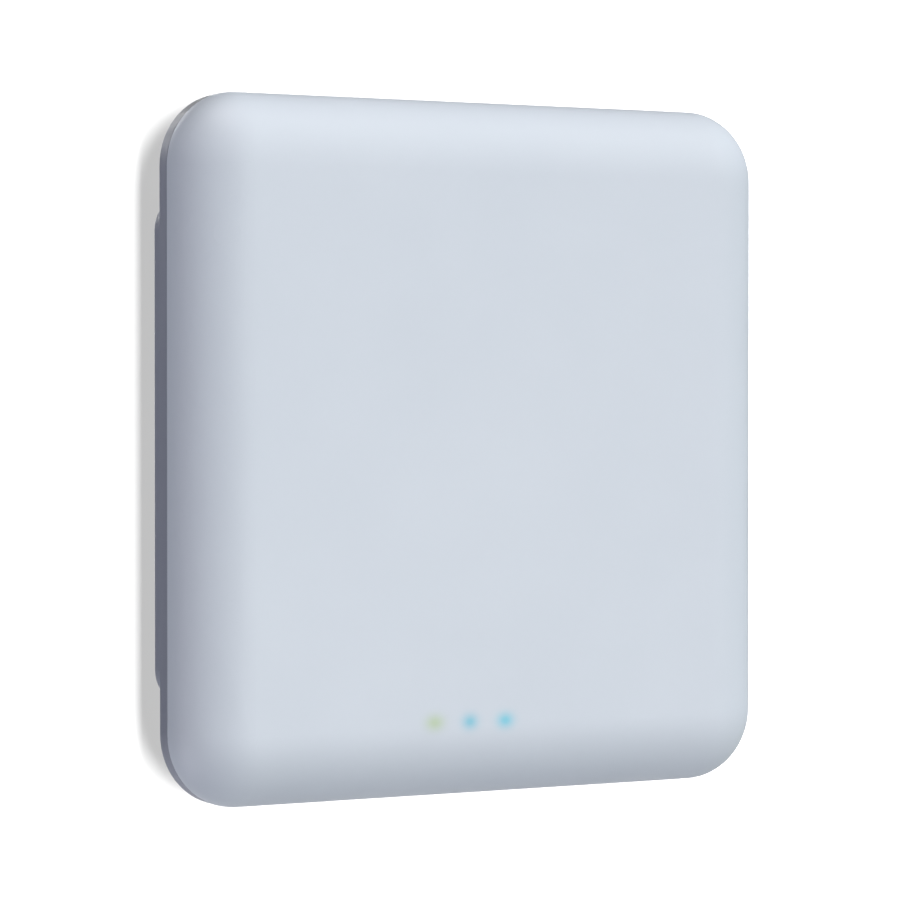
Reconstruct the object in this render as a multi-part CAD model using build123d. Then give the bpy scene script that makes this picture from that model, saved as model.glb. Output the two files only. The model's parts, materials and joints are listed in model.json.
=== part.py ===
from build123d import *
import os
from math import atan2, degrees, hypot

# Square wall / ceiling access point on its slide-on mounting plate.
#
# Every shape is drawn lying on its back: X to the right, Y up the wall and Z
# from the wall plane (0) towards the room. place() then stands it up, so in
# the finished files X is right, Z is up, +Y points into the wall and the
# origin is the centre of the mounting plate's back face.

os.makedirs("parts", exist_ok=True)

# ---------------------------------------------------------------- dimensions
# front cover
COVER_W = 196.0            # overall width
COVER_H = 200.0            # overall height
CORNER_R = 21.0            # outline corner radius
EDGE_IN = 20.0             # how far the pillow edge reaches across the face
EDGE_DEEP = 14.2           # and how deep it is
T_FRONT = 26.0             # wall to front face
T_SPLIT = 11.5             # wall to the parting plane
COVER_WALL = 2.3
LED_SKIN = 0.8             # thin skin that the status lights shine through

# rear housing
T_FLOOR = 6.5              # outside of the floor
FLOOR = 2.3                # floor thickness
SKIRT_W, SKIRT_H, SKIRT_R = 192.8, 143.0, 10.0
SKIRT_T = 0.6              # skirt's edge above the wall plane
SKIRT_WALL = 2.4
BAY_X = 30.0               # port bay, half width
BAY_Y0, BAY_Y1 = -60.0, -14.0
BAY_T = 21.5               # inside of the bay's roof
BAY_WALL = 1.8

# circuit board
PCB_T0, PCB_T1 = 13.0, 14.6
PCB_X, PCB_Y0, PCB_Y1 = 78.0, -85.0, 78.0

# mounting plate
PLATE_W, PLATE_H, PLATE_R, PLATE_T = 130.0, 108.0, 8.0, 2.5
WALL_SCREW_X, WALL_SCREW_Y, WALL_SCREW_R = 56.0, 44.0, 2.3
GANG_X, GANG_R, GANG_LEN = 41.65, 2.1, 8.0
KEY_X, KEY_UP, KEY_LOW = 38.0, 30.0, -34.0
SLIDE = 12.0               # lift that frees the studs from the keyholes
KEY_ROOF = (3.9, 5.9)
KEY_SLOT_W, KEY_ENTRY_R = 5.0, 4.6
NOTCH_X, NOTCH_TOP = 28.0, -6.0

# studs
NECK_R, HEAD_R, SHANK_R = 2.2, 4.2, 1.6

# retaining spring: a steel blade hinged at its riveted foot
BLADE_W, BLADE_TH = 9.0, 0.5
PIVOT_Y, PIVOT_T = 39.7, 2.75
NIB_TOP = 7.65
BLADE_DROP = 0.11375       # nib travel towards the wall per mm of unit travel

# status lights
LED_X = (-19.9, -7.8, 4.3)
LED_Y = -78.2

# ports
JACK_X, JACK_W, JACK_T0, JACK_T1, JACK_Y1 = 4.0, 16.0, 9.6, 21.1, 4.5
DC_X, DC_W, DC_T0, DC_T1, DC_Y1 = -16.0, 9.0, 9.8, 20.8, 0.5
RESET_X, RESET_T = 21.0, 17.2

CASE_SCREWS = [(sx * 86.0, sy * 60.0) for sx in (-1, 1) for sy in (-1, 1)]
BOARD_SCREWS = [(-73, 72), (73, 72), (-73, -2), (73, -2), (-72, -75), (72, -75)]
STUDS = [(sx * KEY_X, y) for sx in (-1, 1) for y in (KEY_UP, KEY_LOW)]

T_IN = T_FLOOR + FLOOR     # inside of the floor


# ------------------------------------------------------------------- helpers
def slab(x0, x1, y0, y1, z0, z1):
    return Pos(x0, y0, z0) * Box(x1 - x0, y1 - y0, z1 - z0, align=(Align.MIN,) * 3)


def plate(w, h, r, z0, z1, cx=0.0, cy=0.0):
    return Pos(cx, cy, z0) * extrude(RectangleRounded(w, h, r), z1 - z0)


def rod(r, z0, z1, x=0.0, y=0.0):
    return Pos(x, y, z0) * Cylinder(r, z1 - z0, align=(Align.CENTER, Align.CENTER, Align.MIN))


def rod_y(r, y0, y1, x=0.0, t=0.0):
    return Pos(x, y0, t) * Rot(-90, 0, 0) * Cylinder(r, y1 - y0, align=(Align.CENTER, Align.CENTER, Align.MIN))


def top_edges(shape):
    return shape.faces().sort_by(Axis.Z)[-1].edges()


def low_edges(shape):
    return shape.faces().sort_by(Axis.Z)[0].edges()


def chip(x, y, w, h, z0, high, c=0.25):
    body = slab(x - w / 2, x + w / 2, y - h / 2, y + h / 2, z0, z0 + high)
    return chamfer(top_edges(body), c)


def group(shapes):
    out = []
    for s in shapes:
        out += list(s.solids())
    return Compound(children=out)


def save(name, shape):
    solids = list((Rot(90, 0, 0) * shape).solids())
    export_step(solids[0] if len(solids) == 1 else Compound(children=solids), f"parts/{name}.step")
    print(f"{name:26s} {len(solids):2d} solids {sum(s.volume for s in solids):10.2f} mm3")


def pillow(w, h, r, edge, deep, straight, z0):
    """A rounded prism from z0 whose front edge is an elliptical rounding, edge wide and deep deep."""
    zt = z0 + straight
    top = zt + deep
    cx, cy = w / 2 - r, h / 2 - r

    # half section, drawn as (distance from a corner's axis, height)
    half = make_face(Curve() + [
        Line((0, z0), (r, z0)),
        Line((r, z0), (r, zt)),
        EllipticalCenterArc((r - edge, zt), edge, deep, start_angle=0, arc_size=90),
        Line((r - edge, top), (0, top)),
        Line((0, top), (0, z0)),
    ])
    corner = revolve(Plane.XZ * half, Axis.Z, 90)
    body = slab(-cx, cx, -cy, cy, z0, top)
    for x, y, a, run in ((cx, cy, 0, 2 * cy), (-cx, cy, 90, 2 * cx), (-cx, -cy, 180, 2 * cy), (cx, -cy, 270, 2 * cx)):
        side = extrude(Plane.XZ * half, run)
        body += Pos(x, y, 0) * Rot(0, 0, a) * (corner + side)
    return body


def thick_line(points, th):
    """A bent strip's profile: straight bars of thickness th with round joints."""
    out = None
    for (a0, b0), (a1, b1) in zip(points, points[1:]):
        length = hypot(a1 - a0, b1 - b0)
        bar = Pos((a0 + a1) / 2, (b0 + b1) / 2) * Rot(0, 0, degrees(atan2(b1 - b0, a1 - a0))) * Rectangle(length, th)
        out = bar if out is None else out + bar
    for a, b in points:
        out = out + Pos(a, b) * Circle(th / 2)
    return out


def across(sketch, x0, x1):
    """Stand a sketch drawn as (Y, Z) up and draw it out along X from x0 to x1."""
    pl = Plane(origin=(x0, 0, 0), x_dir=(0, 1, 0), z_dir=(1, 0, 0))
    return extrude(pl * sketch, x1 - x0)


# --------------------------------------------------------------- front cover
outer = pillow(COVER_W, COVER_H, CORNER_R, EDGE_IN, EDGE_DEEP, T_FRONT - T_SPLIT - EDGE_DEEP, T_SPLIT)
iw, ih, ir = COVER_W - 2 * COVER_WALL, COVER_H - 2 * COVER_WALL, CORNER_R - COVER_WALL
in_deep = T_FRONT - COVER_WALL - T_SPLIT - 0.2
inner = pillow(iw, ih, ir, EDGE_IN - COVER_WALL, in_deep, 0.2, T_SPLIT)
cover = outer - inner
# tongue that drops inside the rear housing's wall
cover += plate(iw - 0.2, ih - 0.2, ir - 0.1, 9.6, T_SPLIT) - plate(iw - 2.6, ih - 2.6, ir - 1.3, 9.5, T_SPLIT)
cover += plate(iw + 0.2, ih + 0.2, ir + 0.1, T_SPLIT, 12.6) - plate(iw - 2.6, ih - 2.6, ir - 1.3, T_SPLIT - 0.1, 12.7)
for x, y in CASE_SCREWS:
    cover += rod(3.75, T_IN, T_SPLIT + 0.5, x, y) + (rod(3.75, T_SPLIT, T_FRONT, x, y) & outer)
    cover -= rod(1.3, T_IN - 0.1, 18.0, x, y)
for x in LED_X:
    cover -= rod(1.75, T_FRONT - COVER_WALL - 0.1, T_FRONT - LED_SKIN, x, LED_Y)
save("front_cover", cover)

# -------------------------------------------------------------- rear housing
def ring_step(in0, t0, in1, t1):
    """One storey of the outer band: the outline moves from in0 to in1 inside the cover's between t0 and t1."""
    return loft([
        Pos(0, 0, t0) * RectangleRounded(COVER_W - 2 * in0, COVER_H - 2 * in0, CORNER_R - in0),
        Pos(0, 0, t1) * RectangleRounded(COVER_W - 2 * in1, COVER_H - 2 * in1, CORNER_R - in1),
    ], ruled=True)


BAND = [(0.4, T_FLOOR), (0.2, T_FLOOR + 0.25), (0.05, T_SPLIT - 0.35), (0.35, T_SPLIT)]
band = None
for (in0, t0), (in1, t1) in zip(BAND, BAND[1:]):
    storey = ring_step(in0, t0, in1, t1)
    band = storey if band is None else band + storey
housing = band - plate(iw, ih, ir, T_IN, T_SPLIT + 1)
skirt = plate(SKIRT_W, SKIRT_H, SKIRT_R, SKIRT_T, T_FLOOR + 0.5)
skirt = fillet(low_edges(skirt), 0.6)
skirt -= plate(SKIRT_W - 2 * SKIRT_WALL, SKIRT_H - 2 * SKIRT_WALL, SKIRT_R - SKIRT_WALL, 0, T_FLOOR)
housing += skirt
# cable channel through the skirt's lower run
housing -= slab(-7, 7, -SKIRT_H / 2 - 1, -SKIRT_H / 2 + SKIRT_WALL + 0.1, 0, T_FLOOR)
# port bay
bay_out = slab(-BAY_X - BAY_WALL, BAY_X + BAY_WALL, BAY_Y0 - BAY_WALL, BAY_Y1 + BAY_WALL, T_FLOOR, BAY_T + 1.5)
bay_out = fillet(bay_out.edges().filter_by(Axis.Z), 3.0)
housing += bay_out
bay_in = slab(-BAY_X, BAY_X, BAY_Y0, BAY_Y1, T_FLOOR - 1, BAY_T)
bay_in = fillet(bay_in.edges().filter_by(Axis.Z), 1.5)
housing -= bay_in
# corner bosses that take the case screws and the feet
for x, y in CASE_SCREWS:
    housing += rod(6.5, SKIRT_T, T_FLOOR + 0.5, x, y)
    housing -= rod(5.3, 0, 2.3, x, y) + rod(3.2, 2.2, 5.2, x, y) + rod(1.7, 5.0, T_IN + 1, x, y)
# stand-offs for the circuit board
for x, y in BOARD_SCREWS:
    housing += rod(3.2, T_IN - 0.5, PCB_T0, x, y)
    housing -= rod(1.1, T_IN + 0.6, PCB_T0 + 1, x, y)
# bosses for the mounting studs
for x, y in STUDS:
    housing += rod(4.0, T_IN - 0.5, 12.2, x, y)
    housing -= rod(SHANK_R + 0.02, T_FLOOR - 1, 11.5, x, y)
# openings for the two sockets and the reset button
housing -= slab(JACK_X - JACK_W / 2 - 0.1, JACK_X + JACK_W / 2 + 0.1, BAY_Y1 - 0.5, BAY_Y1 + BAY_WALL + 0.5, JACK_T0 - 0.1, JACK_T1 + 0.1)
housing -= slab(DC_X - DC_W / 2 - 0.1, DC_X + DC_W / 2 + 0.1, BAY_Y1 - 0.5, BAY_Y1 + BAY_WALL + 0.5, DC_T0 - 0.1, DC_T1 + 0.1)
housing -= rod_y(1.75, BAY_Y1 - 1, BAY_Y1 + BAY_WALL + 1, RESET_X, RESET_T)
# vents: one bank beside the plate, one above and one below the skirt
vents = [slab(-88.5, -71.5, y - 1.0, y + 1.0, T_FLOOR - 1, T_IN + 1) for y in range(-40, 41, 5)]
vents += [slab(x - 1.0, x + 1.0, s * 84 - 6, s * 84 + 6, T_FLOOR - 1, T_IN + 1) for x in range(-60, 61, 5) for s in (-1, 1)]
housing -= vents
# sloping groove that the spring's nib rides in
groove = Polygon((16.3, 6.0), (16.3, 7.95), (11.5, 7.95), (-1.3, 6.49), (-1.3, 6.0), align=None)
housing -= across(groove, -5.0, 5.0)
# posts that grip the four antenna blades
for s in (-1, 1):
    for y in (-4.0, 24.0):
        for x0 in (84.9, 87.0):
            housing += slab(min(s * x0, s * (x0 + 1.1)), max(s * x0, s * (x0 + 1.1)), y - 1.5, y + 1.5, T_IN - 0.3, 13.0)
    for x in (32.0, 58.0):
        for y0 in (84.4, 86.5):
            housing += slab(s * x - 1.5, s * x + 1.5, y0, y0 + 1.1, T_IN - 0.3, 13.0)
save("rear_housing", housing)

# -------------------------------------------- what is fastened to the housing
studs = []
for x, y in STUDS:
    stud = rod(SHANK_R, T_FLOOR, 11.4, x, y) + rod(NECK_R, 3.7, T_FLOOR, x, y)
    head = rod(HEAD_R, 1.9, 3.7, x, y)
    head = fillet(low_edges(head), 0.5)
    head -= slab(x - 2.6, x + 2.6, y - 0.5, y + 0.5, 1.5, 2.8) + slab(x - 0.5, x + 0.5, y - 2.6, y + 2.6, 1.5, 2.8)
    studs.append(stud + head)
save("mounting_studs", group(studs))

feet = []
for x, y in CASE_SCREWS:
    foot = rod(5.0, 0.3, 2.3, x, y)
    feet.append(fillet(low_edges(foot), 0.6))
save("rubber_feet", group(feet))

screws = []
for x, y in CASE_SCREWS:
    head = chamfer(low_edges(rod(2.8, 3.2, 5.2, x, y)), 0.3)
    head -= slab(x - 1.7, x + 1.7, y - 0.4, y + 0.4, 3.0, 4.2) + slab(x - 0.4, x + 0.4, y - 1.7, y + 1.7, 3.0, 4.2)
    screws.append(head + rod(1.27, 5.2, 17.0, x, y))
save("case_screws", group(screws))

label = plate(20, 56, 1.5, T_FLOOR - 0.15, T_FLOOR, 79.0, 0.0)
save("rating_label", label)

# ------------------------------------------------------------- circuit board
pcb = plate(2 * PCB_X, PCB_Y1 - PCB_Y0, 4, PCB_T0, PCB_T1, 0, (PCB_Y0 + PCB_Y1) / 2)
pcb -= slab(-33, 33, -63, -11.5, PCB_T0 - 1, PCB_T1 + 1)
pcb -= slab(JACK_X - 8.3, JACK_X + 8.3, -12, JACK_Y1 + 0.3, PCB_T0 - 1, PCB_T1 + 1)
pcb -= slab(DC_X - 4.8, DC_X + 4.8, -12, DC_Y1 + 0.4, PCB_T0 - 1, PCB_T1 + 1)
for x, y in BOARD_SCREWS:
    pcb -= rod(1.5, PCB_T0 - 1, PCB_T1 + 1, x, y)
save("main_circuit_board", pcb)

bs = []
for x, y in BOARD_SCREWS:
    head = chamfer(top_edges(rod(2.6, PCB_T1, PCB_T1 + 1.7, x, y)), 0.4)
    head -= slab(x - 1.5, x + 1.5, y - 0.35, y + 0.35, PCB_T1 + 0.8, PCB_T1 + 3) + slab(x - 0.35, x + 0.35, y - 1.5, y + 1.5, PCB_T1 + 0.8, PCB_T1 + 3)
    bs.append(head + rod(1.07, 9.8, PCB_T1, x, y))
save("board_screws", group(bs))

spreader = plate(124, 58, 3, T_IN, 10.6, 0, 37)
for x in (-KEY_X, KEY_X):
    spreader -= rod(4.6, T_IN - 1, 12, x, KEY_UP)
spreader += plate(24, 24, 2, 10.6, 11.4, 0, 40)
save("heat_spreader", spreader)
pads = [chip(0, 40, 18, 18, 11.4, PCB_T0 - 11.4, 0.1), chip(-48, 44, 12, 12, 10.6, PCB_T0 - 10.6, 0.1), chip(48, 44, 12, 12, 10.6, PCB_T0 - 10.6, 0.1)]
save("thermal_pads", group(pads))

save("processor_chip", chip(0, 40, 19, 19, PCB_T1, 1.3) + chip(0, 40, 14, 14, PCB_T1 + 1.3, 0.3, 0.1))
save("memory_chips", group([chip(21, 33, 9, 12, PCB_T1, 1.0), chip(21, 48, 9, 12, PCB_T1, 1.0)]))
save("flash_chip", chip(-21, 34, 8, 6, PCB_T1, 1.7))
save("radio_chips", group([chip(-48, 38, 10, 10, PCB_T1, 1.0), chip(48, 38, 10, 10, PCB_T1, 1.0)]))
cans = []
for s in (-1, 1):
    can = slab(s * 48 - 17, s * 48 + 17, 23, 53, PCB_T1, PCB_T1 + 3.0)
    can = fillet(can.edges().filter_by(Axis.Z), 1.0)
    can = fillet(top_edges(can), 0.5)
    can -= slab(s * 48 - 16.7, s * 48 + 16.7, 23.3, 52.7, PCB_T1 - 1, PCB_T1 + 2.7)
    for i in (-1, 0, 1):
        for j in (-1, 0, 1):
            can -= rod(0.7, PCB_T1 + 2, PCB_T1 + 4, s * 48 + 9 * i, 38 + 8 * j)
    cans.append(can)
save("radio_shield_2g", cans[0])
save("radio_shield_5g", cans[1])
save("crystal_can", chip(-16, 52, 5.0, 3.2, PCB_T1, 1.1, 0.2))

# --------------------------------------------------------------- power parts
poe = slab(-62, -42, -38, -22, PCB_T1, PCB_T1 + 2.0) + slab(-60, -44, -37, -23, PCB_T1 + 2.0, PCB_T1 + 6.2) + slab(-62, -42, -38, -22, PCB_T1 + 6.2, PCB_T1 + 7.8)
save("poe_transformer", poe)
core = []
for x in (44, 58):
    c = fillet(slab(x - 4, x + 4, -30, -22, PCB_T1, PCB_T1 + 4.2).edges().filter_by(Axis.Z), 1.4)
    core.append(chamfer(top_edges(c), 0.4))
save("power_inductors", group(core))
caps = []
for x, y in ((-50, -52), (-62, -52), (52, -52)):
    c = rod(4.0, PCB_T1, PCB_T1 + 8.0, x, y)
    c = fillet(top_edges(c), 0.6)
    caps.append(c)
save("bulk_capacitors", group(caps))
save("regulator_chips", group([chip(44, -40, 6, 5, PCB_T1, 1.2), chip(58, -40, 6, 5, PCB_T1, 1.2), chip(-45, -10, 6, 5, PCB_T1, 1.2)]))
save("ethernet_transformer", chip(4, 14, 17, 12, PCB_T1, 4.6, 0.4))

# -------------------------------------------------------------- network port
jx0, jx1 = JACK_X - JACK_W / 2, JACK_X + JACK_W / 2
shell = slab(jx0, jx1, BAY_Y1, JACK_Y1, JACK_T0, JACK_T1) - slab(jx0 + 0.3, jx1 - 0.3, BAY_Y1 - 1, JACK_Y1 - 0.3, JACK_T0 + 0.3, JACK_T1 - 0.3)
shell += slab(jx0 - 2.0, jx0 + 0.2, -8, -4, PCB_T1, PCB_T1 + 0.3) + slab(jx1 - 0.2, jx1 + 2.0, -8, -4, PCB_T1, PCB_T1 + 0.3)
save("ethernet_jack_shell", shell)
insert = slab(jx0 + 0.3, jx1 - 0.3, BAY_Y1 + 0.2, JACK_Y1 - 0.3, JACK_T0 + 0.3, JACK_T1 - 0.3)
insert -= slab(JACK_X - 5.9, JACK_X + 5.9, BAY_Y1 - 1, -2.0, 11.2, 19.8)
insert -= slab(JACK_X - 3.2, JACK_X + 3.2, BAY_Y1 - 1, -4.0, 10.4, 11.3)
save("ethernet_jack_insert", insert)
wires = []
for i in range(8):
    x = JACK_X + (i - 3.5) * 1.02
    prof = thick_line([(-11.6, 19.6), (-4.6, 17.0), (-2.2, 17.0)], 0.36)
    wires.append(across(prof, x - 0.22, x + 0.22))
save("ethernet_contacts", group(wires))

# ---------------------------------------------------------------- power port
dc = slab(DC_X - DC_W / 2, DC_X + DC_W / 2, BAY_Y1, DC_Y1, DC_T0, DC_T1)
DC_T = (DC_T0 + DC_T1) / 2
dc -= rod_y(3.2, BAY_Y1 - 1, -4.0, DC_X, DC_T)
dc += slab(DC_X - DC_W / 2 - 1.6, DC_X - DC_W / 2 + 0.2, -9, -5, PCB_T1, PCB_T1 + 0.8) + slab(DC_X + DC_W / 2 - 0.2, DC_X + DC_W / 2 + 1.6, -9, -5, PCB_T1, PCB_T1 + 0.8)
save("power_jack_body", dc)
pin = rod_y(1.0, -12.8, -4.0, DC_X, DC_T)
pin = fillet(pin.edges().group_by(Axis.Y)[0], 0.4)
save("power_jack_pin", pin)

# -------------------------------------------------------------- reset button
button = rod_y(1.5, -15.2, -10.7, RESET_X, RESET_T)
button = fillet(button.edges().group_by(Axis.Y)[0], 0.4)
button += rod_y(2.3, -11.6, -10.7, RESET_X, RESET_T)
save("reset_button", button)
switch = slab(RESET_X - 3.1, RESET_X + 3.1, -10.1, -5.6, PCB_T1, PCB_T1 + 4.6)
switch -= rod_y(1.2, -11, -9.1, RESET_X, RESET_T)
save("reset_switch", switch)

# -------------------------------------------------------------- status lights
save("status_leds", group([chip(x, LED_Y, 2.0, 1.6, PCB_T1, 0.8, 0.1) for x in LED_X]))
save("light_pipes", group([rod(1.6, 15.5, T_FRONT - LED_SKIN - 0.05, x, LED_Y) + rod(2.4, 23.4, 23.7, x, LED_Y) for x in LED_X]))
baffle = plate(36.4, 9.0, 1.5, PCB_T1, 23.4, -7.8, LED_Y)
for x in LED_X:
    baffle -= rod(1.75, PCB_T1 - 1, 24, x, LED_Y)
save("light_baffle", baffle)

# ------------------------------------------------------------------ antennas
side, top = [], []
for s in (-1, 1):
    side.append(slab(min(s * 86, s * 87), max(s * 86, s * 87), -7, 27, T_IN, 18.8))
    top.append(slab(s * 45 - 17, s * 45 + 17, 85.5, 86.5, T_IN, 18.8))
save("side_antennas", group(side))
save("top_antennas", group(top))
CONN = [(-68, 28), (-68, 48), (68, 28), (68, 48)]
save("coax_connectors", group([rod(1.6, PCB_T1, 16.1, x, y) for x, y in CONN]))
leads = []
LT, LR = 15.3, 0.65
for s in (-1, 1):
    for pts in ([(s * 69.6, 28), (s * 76, 28), (s * 76, 12), (s * 86, 12)],
                [(s * 68, 49.6), (s * 68, 61), (s * 54, 61), (s * 54, 85.5)]):
        path = FilletPolyline(*[(x, y, LT) for x, y in pts], radius=3.0)
        d = Vector(pts[1][0] - pts[0][0], pts[1][1] - pts[0][1], 0)
        sec = Plane(origin=(pts[0][0], pts[0][1], LT), z_dir=d) * Circle(LR)
        leads.append(sweep(sec, path=path))
save("antenna_leads", group(leads))

# ------------------------------------------------------------ mounting plate
mp = plate(PLATE_W, PLATE_H, PLATE_R, 0, PLATE_T)
rib = plate(PLATE_W, PLATE_H, PLATE_R, PLATE_T - 0.5, 4.2) - plate(PLATE_W - 4, PLATE_H - 4, PLATE_R - 2, PLATE_T - 1, 5)
notch_rib = plate(2 * NOTCH_X + 4, 64, 8, PLATE_T - 0.5, 4.2, 0, NOTCH_TOP + 2 - 32) & plate(PLATE_W, PLATE_H, PLATE_R, 0, 5)
mp += rib
mp += notch_rib
for x, y in STUDS:
    mp += plate(16, 27.5, 3, 0, KEY_ROOF[1], x, y + 6.75)
for sx in (-1, 1):
    for sy in (-1, 1):
        mp += rod(5.2, 0, 3.4, sx * WALL_SCREW_X, sy * WALL_SCREW_Y)
mp -= plate(2 * NOTCH_X, 64, 6, -1, 8, 0, NOTCH_TOP - 32)
for x, y in STUDS:
    mp -= plate(12, 23.5, 1.5, -1, KEY_ROOF[0], x, y + 6.75)
    mp -= Pos(x, y + SLIDE / 2, KEY_ROOF[0] - 0.5) * Rot(0, 0, 90) * extrude(SlotCenterToCenter(SLIDE, KEY_SLOT_W), 4)
    mp -= rod(KEY_ENTRY_R, KEY_ROOF[0] - 0.5, 8, x, y + SLIDE)
for sx in (-1, 1):
    mp -= Pos(sx * GANG_X, 0, -1) * extrude(SlotOverall(GANG_LEN, 2 * GANG_R), 6)
    for sy in (-1, 1):
        mp -= rod(WALL_SCREW_R, -1, 8, sx * WALL_SCREW_X, sy * WALL_SCREW_Y)
# window that lets the spring blade flex towards the wall, and its rivet holes
mp -= plate(13, 33.3, 1.5, -1, 8, 0, 23.65)
for x in (-2.6, 2.6):
    mp -= rod(1.0, -1, 8, x, 45.5) + rod(2.0, -1, 0.9, x, 45.5)
save("mounting_plate", mp)

foot = slab(-BLADE_W / 2, BLADE_W / 2, 40.0, 50.0, PLATE_T, PLATE_T + BLADE_TH)
for x in (-2.6, 2.6):
    foot -= rod(1.0, 0, 8, x, 45.5)
save("spring_foot", foot)
riv = []
for x in (-2.6, 2.6):
    r = rod(0.98, 0.2, 3.0, x, 45.5) + rod(1.8, 0.2, 0.9, x, 45.5)
    riv.append(r + fillet(top_edges(rod(1.8, 3.0, 3.7, x, 45.5)), 0.35))
save("spring_rivets", group(riv))
blade = thick_line([(PIVOT_Y, PIVOT_T), (19.0, PIVOT_T), (14.3, NIB_TOP - 0.25), (12.3, NIB_TOP - 0.25), (9.3, 4.4)], BLADE_TH)
save("retaining_spring", across(blade, -BLADE_W / 2, BLADE_W / 2))
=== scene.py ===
"""Looks of the square access point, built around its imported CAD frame."""
import json
import math
import random

import bpy
import bmesh
from mathutils import Vector, Matrix


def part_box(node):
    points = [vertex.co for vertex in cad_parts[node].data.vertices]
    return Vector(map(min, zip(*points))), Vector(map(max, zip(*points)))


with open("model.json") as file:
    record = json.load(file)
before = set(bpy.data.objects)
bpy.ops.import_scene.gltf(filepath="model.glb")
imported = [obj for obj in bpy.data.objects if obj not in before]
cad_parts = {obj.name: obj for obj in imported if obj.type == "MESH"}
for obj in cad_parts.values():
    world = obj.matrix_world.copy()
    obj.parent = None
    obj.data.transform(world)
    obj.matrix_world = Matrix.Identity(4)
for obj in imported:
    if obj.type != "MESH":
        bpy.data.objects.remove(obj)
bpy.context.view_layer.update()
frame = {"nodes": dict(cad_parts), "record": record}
nodes = frame["nodes"]
scene = bpy.context.scene

# ------------------------------------------------------------------- sizes
lo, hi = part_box("front_cover")
W = hi.x - lo.x
H = hi.z - lo.z
Y_FRONT = lo.y
b_lo, b_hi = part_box("rear_housing")
p_lo, p_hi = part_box("light_pipes")
LED_Z = (p_lo.z + p_hi.z) / 2
LED_XS = (p_lo.x + 0.0024, (p_lo.x + p_hi.x) / 2 - 0.0003, p_hi.x - 0.0028)
LED_ZS = (LED_Z + 0.0003, LED_Z + 0.0001, LED_Z)
LED_SIGMA = ((0.00215, 0.0016), (0.0018, 0.0015), (0.00195, 0.0015))
LED_EMIT = 0.06


# --------------------------------------------------------------- materials
class Mat:
    """A small helper round one Principled material."""

    def __init__(self, name, color, rough, metallic=0.0, spec=0.5):
        self.m = bpy.data.materials.new(name)
        self.m.use_nodes = True
        self.t = self.m.node_tree
        self.n = self.t.nodes
        self.p = self.n["Principled BSDF"]
        self.p.inputs["Base Color"].default_value = (*color, 1)
        self.p.inputs["Roughness"].default_value = rough
        self.p.inputs["Metallic"].default_value = metallic
        self.p.inputs["Specular IOR Level"].default_value = spec
        self.co = self.n.new("ShaderNodeTexCoord")
        self.color, self.rough = color, rough
        self.normal = None

    def link(self, a, b):
        self.t.links.new(a, b)

    def noise(self, scale, detail=2.0, rough=0.5, vec=None, stretch=None):
        n = self.n.new("ShaderNodeTexNoise")
        n.inputs["Scale"].default_value = scale
        n.inputs["Detail"].default_value = detail
        n.inputs["Roughness"].default_value = rough
        src = vec or self.co.outputs["Object"]
        if stretch:
            mp = self.n.new("ShaderNodeMapping")
            mp.inputs["Scale"].default_value = stretch
            self.link(src, mp.inputs["Vector"])
            src = mp.outputs["Vector"]
        self.link(src, n.inputs["Vector"])
        return n.outputs["Fac"]

    def ramp(self, fac, stops):
        r = self.n.new("ShaderNodeValToRGB")
        e = r.color_ramp.elements
        e[0].position, e[0].color = stops[0][0], (*stops[0][1], 1)
        e[1].position, e[1].color = stops[1][0], (*stops[1][1], 1)
        for pos, c in stops[2:]:
            x = e.new(pos)
            x.color = (*c, 1)
        self.link(fac, r.inputs["Fac"])
        return r.outputs["Color"]

    def span(self, fac, a, b, c, d):
        r = self.n.new("ShaderNodeMapRange")
        for k, v in zip(("From Min", "From Max", "To Min", "To Max"), (a, b, c, d)):
            r.inputs[k].default_value = v
        self.link(fac, r.inputs["Value"])
        return r.outputs["Result"]

    def tint(self, fac, amount, base=None):
        """Base colour varied by up to amount, darker and lighter, with fac."""
        c = base or self.color
        lowc = tuple(max(0, x * (1 - amount)) for x in c)
        highc = tuple(min(1, x * (1 + amount)) for x in c)
        out = self.ramp(fac, [(0.3, lowc), (0.7, highc)])
        self.link(out, self.p.inputs["Base Color"])
        return out

    def vary_rough(self, fac, amount):
        out = self.span(fac, 0.3, 0.7, self.rough - amount, self.rough + amount)
        self.link(out, self.p.inputs["Roughness"])

    def bump(self, fac, distance, strength=1.0):
        b = self.n.new("ShaderNodeBump")
        b.inputs["Distance"].default_value = distance
        b.inputs["Strength"].default_value = strength
        self.link(fac, b.inputs["Height"])
        if self.normal is not None:
            self.link(self.normal, b.inputs["Normal"])
        self.normal = b.outputs["Normal"]
        self.link(self.normal, self.p.inputs["Normal"])


def moulded(name, color, rough, grain=0.00003, tint=0.02, spec=0.5):
    """Injection-moulded plastic: fine spark texture, faint flow variation."""
    m = Mat(name, color, rough, spec=spec)
    m.tint(m.noise(14.0, 3.0), tint)
    m.vary_rough(m.noise(90.0, 3.0), 0.04)
    m.bump(m.noise(2600.0, 2.0, 0.6), grain, 0.5)
    return m


def metal(name, color, rough, stretch=(1, 1, 1), scale=900.0, tint=0.05):
    """Plated or brushed sheet metal."""
    m = Mat(name, color, rough, metallic=1.0)
    m.tint(m.noise(60.0, 4.0), tint)
    m.vary_rough(m.noise(scale, 3.0, stretch=stretch), 0.08)
    m.bump(m.noise(scale, 2.0, stretch=stretch), 0.000002, 0.4)
    return m


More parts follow.
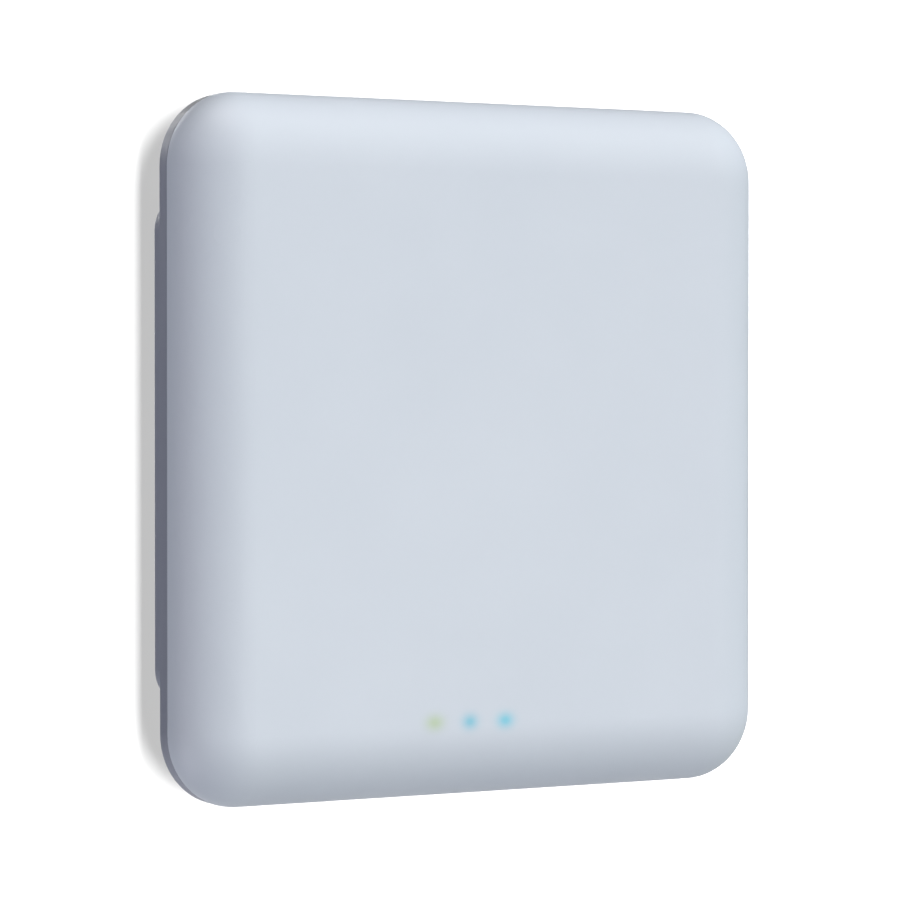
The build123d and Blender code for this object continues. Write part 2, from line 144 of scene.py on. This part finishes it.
def cover_plastic():
    """Cool near-white satin plastic. Behind each status light a painted glow, in base colour and emission, stands in
    for the light shining softly through the thin skin.
    """
    m = Mat("cover_plastic_look", (0.665, 0.725, 0.79), 0.46, spec=0.42)
    t, n = m.t, m.n
    flow = m.noise(9.0, 3.0, 0.55)
    col = m.ramp(flow, [(0.3, (0.655, 0.716, 0.782)), (0.7, (0.676, 0.735, 0.798))])
    # painted glow: a bell of distance from each light's axis, in metres, in the plane of the face, pulls the base
    # colour towards the light's colour and adds emission
    sep = n.new("ShaderNodeSeparateXYZ")
    m.link(m.co.outputs["Object"], sep.inputs["Vector"])
    painted_glow_colors = [(0.435, 0.585, 0.295), (0.22, 0.56, 0.69), (0.20, 0.595, 0.73)]
    peaks = [0.64, 0.93, 0.96]
    emit = None
    for x, z, sigma, tint, peak in zip(LED_XS, LED_ZS, LED_SIGMA, painted_glow_colors, peaks):
        off = n.new("ShaderNodeVectorMath")
        off.operation = "SUBTRACT"
        m.link(m.co.outputs["Object"], off.inputs[0])
        off.inputs[1].default_value = (x, 0.0, z)
        rel = n.new("ShaderNodeVectorMath")
        rel.operation = "MULTIPLY"
        m.link(off.outputs["Vector"], rel.inputs[0])
        rel.inputs[1].default_value = (1 / sigma[0], 0.0, 1 / sigma[1])
        sq = n.new("ShaderNodeVectorMath")
        sq.operation = "DOT_PRODUCT"
        m.link(rel.outputs["Vector"], sq.inputs[0])
        m.link(rel.outputs["Vector"], sq.inputs[1])
        k = n.new("ShaderNodeMath")
        k.operation = "MULTIPLY"
        k.inputs[1].default_value = -0.5
        m.link(sq.outputs["Value"], k.inputs[0])
        e = n.new("ShaderNodeMath")
        e.operation = "EXPONENT"
        m.link(k.outputs["Value"], e.inputs[0])
        amt = n.new("ShaderNodeMath")
        amt.operation = "MULTIPLY"
        amt.inputs[1].default_value = peak
        m.link(e.outputs["Value"], amt.inputs[0])
        front = n.new("ShaderNodeMath")          # only on the outer face, not on the walls behind
        front.operation = "LESS_THAN"
        m.link(sep.outputs["Y"], front.inputs[0])
        front.inputs[1].default_value = Y_FRONT + 0.0006
        both = n.new("ShaderNodeMath")
        both.operation = "MULTIPLY"
        m.link(amt.outputs["Value"], both.inputs[0])
        m.link(front.outputs["Value"], both.inputs[1])
        # painted glow: the bell pulls the cover's base colour towards this light's colour
        mix = n.new("ShaderNodeMix")
        mix.data_type = "RGBA"
        m.link(both.outputs["Value"], mix.inputs["Factor"])
        m.link(col, mix.inputs["A"])
        mix.inputs["B"].default_value = (*tint, 1)
        col = mix.outputs["Result"]
        # painted glow: the same bell adds a faint emission in this light's colour
        glow = n.new("ShaderNodeMix")
        glow.data_type = "RGBA"
        m.link(both.outputs["Value"], glow.inputs["Factor"])
        glow.inputs["A"].default_value = (0, 0, 0, 1)
        glow.inputs["B"].default_value = (*[c * LED_EMIT for c in tint], 1)
        if emit is None:
            emit = glow.outputs["Result"]
        else:
            add = n.new("ShaderNodeVectorMath")
            add.operation = "ADD"
            m.link(emit, add.inputs[0])
            m.link(glow.outputs["Result"], add.inputs[1])
            emit = add.outputs["Vector"]
    m.link(col, m.p.inputs["Base Color"])
    m.link(emit, m.p.inputs["Emission Color"])
    m.p.inputs["Emission Strength"].default_value = 1.0
    m.vary_rough(m.noise(60.0, 3.0), 0.03)
    m.bump(m.noise(2200.0, 2.0, 0.6), 0.000012, 0.35)
    return m.m





looks = {}
looks["cover_plastic"] = cover_plastic()
looks["housing_plastic"] = moulded("housing_plastic_look", (0.33, 0.355, 0.42), 0.52, grain=0.00004, tint=0.03).m
looks["plate_plastic"] = moulded("plate_plastic_look", (0.235, 0.25, 0.29), 0.58, grain=0.00005, tint=0.04).m
looks["button_plastic"] = moulded("button_plastic_look", (0.035, 0.036, 0.04), 0.5).m
looks["jack_black"] = moulded("jack_black_look", (0.022, 0.022, 0.025), 0.38).m
looks["chip_epoxy"] = moulded("chip_epoxy_look", (0.02, 0.02, 0.022), 0.6).m
looks["cable_black"] = moulded("cable_black_look", (0.025, 0.025, 0.028), 0.42).m
looks["foot_rubber"] = moulded("foot_rubber_look", (0.028, 0.028, 0.031), 0.82, grain=0.00006, tint=0.12, spec=0.3).m
looks["pad_silicone"] = moulded("pad_silicone_look", (0.35, 0.42, 0.52), 0.75).m
looks["ferrite"] = moulded("ferrite_look", (0.05, 0.05, 0.055), 0.7, tint=0.15).m
looks["zinc_steel"] = metal("zinc_steel_look", (0.62, 0.63, 0.64), 0.32).m
looks["spring_steel"] = metal("spring_steel_look", (0.50, 0.51, 0.53), 0.26, stretch=(8, 1, 1)).m
looks["heatsink_alloy"] = metal("heatsink_alloy_look", (0.68, 0.69, 0.71), 0.38, stretch=(1, 1, 12)).m
looks["shield_tin"] = metal("shield_tin_look", (0.66, 0.66, 0.64), 0.3).m
looks["contact_gold"] = metal("contact_gold_look", (0.83, 0.62, 0.25), 0.22).m
looks["can_aluminium"] = metal("can_aluminium_look", (0.62, 0.63, 0.66), 0.34).m


def label_film():
    m = Mat("label_film_look", (0.72, 0.73, 0.75), 0.48, spec=0.4)
    m.tint(m.noise(40.0, 4.0), 0.03)
    m.vary_rough(m.noise(200.0, 3.0), 0.05)
    m.bump(m.noise(900.0, 3.0, 0.7), 0.00001, 0.5)
    return m.m


def board_laminate():
    """Green solder mask over faint copper runs."""
    m = Mat("board_laminate_look", (0.012, 0.10, 0.045), 0.32, spec=0.5)
    v = m.n.new("ShaderNodeTexBrick")
    m.link(m.co.outputs["Object"], v.inputs["Vector"])
    v.inputs["Scale"].default_value = 160.0
    v.inputs["Mortar Size"].default_value = 0.06
    out = m.ramp(v.outputs["Fac"], [(0.0, (0.012, 0.10, 0.045)), (1.0, (0.03, 0.17, 0.07))])
    m.link(out, m.p.inputs["Base Color"])
    m.vary_rough(m.noise(150.0), 0.05)
    m.bump(v.outputs["Fac"], 0.00002, 0.5)
    return m.m


def light_acrylic():
    m = Mat("light_acrylic_look", (0.9, 0.94, 0.96), 0.12)
    m.p.inputs["Transmission Weight"].default_value = 0.8
    m.vary_rough(m.noise(300.0), 0.03)
    m.tint(m.noise(80.0), 0.02)
    return m.m


def led_package():
    m = Mat("led_package_look", (0.75, 0.8, 0.7), 0.3)
    m.tint(m.noise(400.0), 0.05)
    m.vary_rough(m.noise(300.0), 0.05)
    m.p.inputs["Emission Color"].default_value = (0.25, 0.75, 1.0, 1)
    m.p.inputs["Emission Strength"].default_value = 0.4
    return m.m


looks["label_film"] = label_film()
looks["board_laminate"] = board_laminate()
looks["light_acrylic"] = light_acrylic()
looks["led_package"] = led_package()

slot_of = {s["node"]: s["material_slot"] for s in frame["record"]["subparts"]}
for name, o in nodes.items():
    o.data.materials.clear()
    o.data.materials.append(looks[slot_of[name]])

# ------------------------------------------------------------------- stage
def plane(name, corners):
    me = bpy.data.meshes.new(name)
    me.from_pydata(corners, [], [(0, 1, 2, 3)])
    o = bpy.data.objects.new(name, me)
    scene.collection.objects.link(o)
    return o


WALL_Y = b_hi.y if b_hi.y > 0 else 0.0
wall = plane("wall", [(-3, WALL_Y, -3), (3, WALL_Y, -3), (3, WALL_Y, 3), (-3, WALL_Y, 3)])
wm = bpy.data.materials.new("wall_paint")
wm.use_nodes = True
wt, wn = wm.node_tree, wm.node_tree.nodes
wp = wn["Principled BSDF"]
wp.inputs["Base Color"].default_value = (0.1, 0.1, 0.1, 1)
wp.inputs["Roughness"].default_value = 0.9
wp.inputs["Specular IOR Level"].default_value = 0.0
wp.inputs["Emission Color"].default_value = (1, 1, 1, 1)
# painted shade: the wall's own glow is dimmed to the soft grey of the shadow within 0.17 m of the object and rises
# to plain white by 0.32 m; where the shadow falls comes from the wall light's real cast shadow
wco = wn.new("ShaderNodeTexCoord")
far = wn.new("ShaderNodeVectorMath")
far.operation = "LENGTH"
wt.links.new(wco.outputs["Object"], far.inputs[0])
painted_shade_fade = wn.new("ShaderNodeMapRange")
for k, v in zip(("From Min", "From Max", "To Min", "To Max"), (0.17, 0.32, 0.525, 1.05)):
    painted_shade_fade.inputs[k].default_value = v
wt.links.new(far.outputs["Value"], painted_shade_fade.inputs["Value"])
wt.links.new(painted_shade_fade.outputs["Result"], wp.inputs["Emission Strength"])
# Seen from behind the wall is open, so that the back of the object can be looked at. Light from behind comes in
# only through a hatch just inside the object's outline, so none of it grazes the sides that face the room.
geo = wn.new("ShaderNodeNewGeometry")
lp = wn.new("ShaderNodeLightPath")
co = wn.new("ShaderNodeTexCoord")
sp = wn.new("ShaderNodeSeparateXYZ")
wt.links.new(co.outputs["Object"], sp.inputs["Vector"])
HATCH_R = 0.021                                   # the hatch is the object's rounded outline, drawn in by 5 mm
past = wn.new("ShaderNodeCombineXYZ")
for axis, half in (("X", W / 2), ("Z", H / 2)):
    ab = wn.new("ShaderNodeMath")
    ab.operation = "ABSOLUTE"
    wt.links.new(sp.outputs[axis], ab.inputs[0])
    sb = wn.new("ShaderNodeMath")
    sb.operation = "SUBTRACT"
    sb.inputs[1].default_value = half - HATCH_R
    wt.links.new(ab.outputs["Value"], sb.inputs[0])
    pos = wn.new("ShaderNodeMath")
    pos.operation = "MAXIMUM"
    pos.inputs[1].default_value = 0.0
    wt.links.new(sb.outputs["Value"], pos.inputs[0])
    wt.links.new(pos.outputs["Value"], past.inputs[axis])
out_by = wn.new("ShaderNodeVectorMath")
out_by.operation = "LENGTH"
wt.links.new(past.outputs["Vector"], out_by.inputs[0])
inside = wn.new("ShaderNodeMath")
inside.operation = "LESS_THAN"
inside.inputs[1].default_value = HATCH_R - 0.005
wt.links.new(out_by.outputs["Value"], inside.inputs[0])
hatch = wn.new("ShaderNodeMath")
hatch.operation = "MULTIPLY"
wt.links.new(lp.outputs["Is Shadow Ray"], hatch.inputs[0])
wt.links.new(inside.outputs["Value"], hatch.inputs[1])
open_to_light = hatch.outputs["Value"]
mx = wn.new("ShaderNodeMath")
mx.operation = "MAXIMUM"
camera_side = wn.new("ShaderNodeMath")
camera_side.operation = "MULTIPLY"
wt.links.new(geo.outputs["Backfacing"], camera_side.inputs[0])
wt.links.new(lp.outputs["Is Camera Ray"], camera_side.inputs[1])
wt.links.new(camera_side.outputs["Value"], mx.inputs[0])
wt.links.new(open_to_light, mx.inputs[1])
tr = wn.new("ShaderNodeBsdfTransparent")
ms = wn.new("ShaderNodeMixShader")
wt.links.new(mx.outputs["Value"], ms.inputs["Fac"])
wt.links.new(wp.outputs["BSDF"], ms.inputs[1])
wt.links.new(tr.outputs["BSDF"], ms.inputs[2])
wt.links.new(ms.outputs["Shader"], wn["Material Output"].inputs["Surface"])
wall.data.materials.append(wm)
wall.visible_diffuse = False
wall.visible_glossy = False
wall.visible_transmission = False

floor = plane("floor", [(-6, -6, -1.0), (6, -6, -1.0), (6, 6, -1.0), (-6, 6, -1.0)])
fm = bpy.data.materials.new("floor_paint")
fm.use_nodes = True
fm.node_tree.nodes["Principled BSDF"].inputs["Base Color"].default_value = (0.8, 0.8, 0.8, 1)
fm.node_tree.nodes["Principled BSDF"].inputs["Roughness"].default_value = 0.8
fm.node_tree.nodes["Principled BSDF"].inputs["Emission Color"].default_value = (1, 1, 1, 1)
seen = fm.node_tree.nodes.new("ShaderNodeLightPath")     # the floor looks pale but throws no light of its own
pale = fm.node_tree.nodes.new("ShaderNodeMath")
pale.operation = "MULTIPLY"
pale.inputs[1].default_value = 0.6
fm.node_tree.links.new(seen.outputs["Is Camera Ray"], pale.inputs[0])
fm.node_tree.links.new(pale.outputs["Value"], fm.node_tree.nodes["Principled BSDF"].inputs["Emission Strength"])
floor.data.materials.append(fm)
floor.visible_shadow = False
floor.visible_diffuse = False

# ------------------------------------------------------------------- light
on_wall = bpy.data.collections.new("on_wall")
on_wall.objects.link(wall)
on_object = bpy.data.collections.new("on_object")
on_front = bpy.data.collections.new("on_front")     # the overhead light misses the housing tucked behind the cover
for o in list(nodes.values()) + [floor]:
    on_object.objects.link(o)
    if o is not nodes["rear_housing"]:
        on_front.objects.link(o)


def area(name, where, size, power, color, only, target=(0, 0, 0)):
    li = bpy.data.lights.new(name, "AREA")
    li.shape = "RECTANGLE"
    li.size, li.size_y = size
    li.energy = power
    li.color = color
    o = bpy.data.objects.new(name, li)
    o.location = where
    o.rotation_mode = "QUATERNION"
    o.rotation_quaternion = (Vector(target) - Vector(where)).to_track_quat("-Z", "Y")
    scene.collection.objects.link(o)
    o.visible_camera = False
    o.light_linking.receiver_collection = only
    return o


# large soft lights, as (turn from straight ahead towards +X, height above level, strength, colour)
SOFT = {
    "key": (45, 35, 1.028, (0.954, 1.0, 0.955)),
    "front": (30, 0, 1.342, (0.976, 0.982, 1.0)),
    "high": (0, 35, 0.295, (1.0, 0.817, 0.952)),
    "top": (0, 70, 1.504, (1.0, 0.983, 0.995)),
    "low_right": (45, -35, 0.267, (0.902, 1.0, 0.993)),
    "low_left": (-90, -35, 1.453, (0.911, 0.906, 1.0)),
}
for name, (turn, height, power, color) in SOFT.items():
    li = bpy.data.lights.new(name, "SUN")
    li.angle = math.radians(40)
    li.energy = power
    li.color = color
    o = bpy.data.objects.new(name, li)
    turn, height = math.radians(turn), math.radians(height)
    toward = Vector((math.sin(turn) * math.cos(height), -math.cos(turn) * math.cos(height), math.sin(height)))
    o.rotation_mode = "QUATERNION"
    o.rotation_quaternion = (-toward).to_track_quat("-Z", "Y")
    scene.collection.objects.link(o)
    o.light_linking.receiver_collection = on_front if name == "top" else on_object
    o.light_linking.blocker_collection = on_object
area("wall_light", (0.74, -1.7, 0.0), (1.2, 4.2), 1100.0, (1, 1, 1), on_wall)
area("back_left", (-0.45, 1.9, 0.9), (1.0, 1.0), 30.0, (1, 1, 1), on_object)
area("back_right", (0.5, 1.9, 0.3), (1.0, 1.0), 18.0, (1, 1, 1), on_object)

world = bpy.data.worlds.new("studio")
scene.world = world
world.use_nodes = True
vt, vn = world.node_tree, world.node_tree.nodes
bg = vn["Background"]
bg.inputs["Color"].default_value = (0.80, 0.86, 1.0, 1)
bg.inputs["Strength"].default_value = 0.03
bw = vn.new("ShaderNodeBackground")
bw.inputs["Color"].default_value = (1, 1, 1, 1)
bw.inputs["Strength"].default_value = 1.0
vl = vn.new("ShaderNodeLightPath")
vm = vn.new("ShaderNodeMixShader")
vt.links.new(vl.outputs["Is Camera Ray"], vm.inputs["Fac"])
vt.links.new(bg.outputs["Background"], vm.inputs[1])
vt.links.new(bw.outputs["Background"], vm.inputs[2])
vt.links.new(vm.outputs["Shader"], vn["World Output"].inputs["Surface"])

# ------------------------------------------------------------------ camera
cam_data = bpy.data.cameras.new("camera")
cam = bpy.data.objects.new("camera", cam_data)
scene.collection.objects.link(cam)
scene.camera = cam
YAW, PITCH = math.radians(31.75), math.radians(0.896)
cam_data.sensor_width = 36.0
cam_data.lens = 156.35
cam_data.clip_start, cam_data.clip_end = 0.05, 20.0
fwd = Vector((math.sin(YAW) * math.cos(PITCH), math.cos(YAW) * math.cos(PITCH), -math.sin(PITCH)))
right = Vector((math.cos(YAW), -math.sin(YAW), 0))
up = right.cross(fwd)
SPLIT = Vector((0, -0.0115, 0))
cam.location = SPLIT - 1.13377 * fwd - (0.00486 + 0.000145) * right - (0.00079 - 0.000145) * up
cam.rotation_mode = "QUATERNION"
cam.rotation_quaternion = fwd.to_track_quat("-Z", "Y")

scene.view_settings.view_transform = "Standard"
scene.view_settings.look = "None"
scene.view_settings.exposure = 0.0
scene.view_settings.gamma = 1.0
